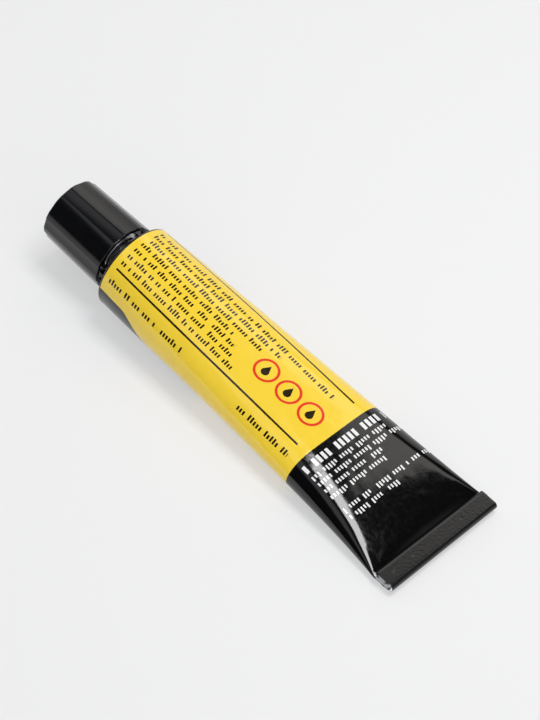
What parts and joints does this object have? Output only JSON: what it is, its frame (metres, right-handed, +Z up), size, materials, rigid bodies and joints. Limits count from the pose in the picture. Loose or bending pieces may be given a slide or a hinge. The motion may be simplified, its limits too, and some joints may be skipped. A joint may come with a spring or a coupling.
{
  "type": "glue tube",
  "caption": "Collapsible aluminium glue tube with a folded flat tail, tapering sleeve, threaded neck and fluted screw cap, lying on its side.",
  "frame": {"origin": "centre of the bounding box's base, on the surface that the tube lies on", "axes": "+X along the tube towards the cap, +Y across its width, +Z up; the sleeve's flat underside lies on z = 0, so the round end's own axis rises 5.2 degrees towards the cap"},
  "size_m": [0.1066, 0.0296, 0.019],
  "materials": {
    "enamelled_aluminium": "gloss",
    "bare_foil": "satin",
    "glue": "satin",
    "sealing_compound": "matte",
    "liner_wad": "matte",
    "black_plastic": "satin"
  },
  "bodies": {
    "tube": {"tube_body": "enamelled_aluminium", "orifice_seal": "bare_foil", "adhesive_charge": "glue", "tail_seal": "sealing_compound"},
    "liner": {"cap_liner": "liner_wad"},
    "screw_cap": {"cap": "black_plastic"}
  },
  "joints": [
    {"name": "cap_lift", "type": "slide", "parent": "tube", "child": "liner", "axis": [0.9958, 0, 0.0912], "range_m": [0, 0.012]},
    {"name": "cap_turn", "type": "hinge", "parent": "liner", "child": "screw_cap", "pos_m": [0.05266, 0, 0.01124], "axis": [0.9958, 0, 0.0912], "range_deg": [0, 2160]}
  ],
  "couplings": [
    {"joint": "cap_turn", "follows": "cap_lift", "rad_per_m": 3141.6}
  ]
}
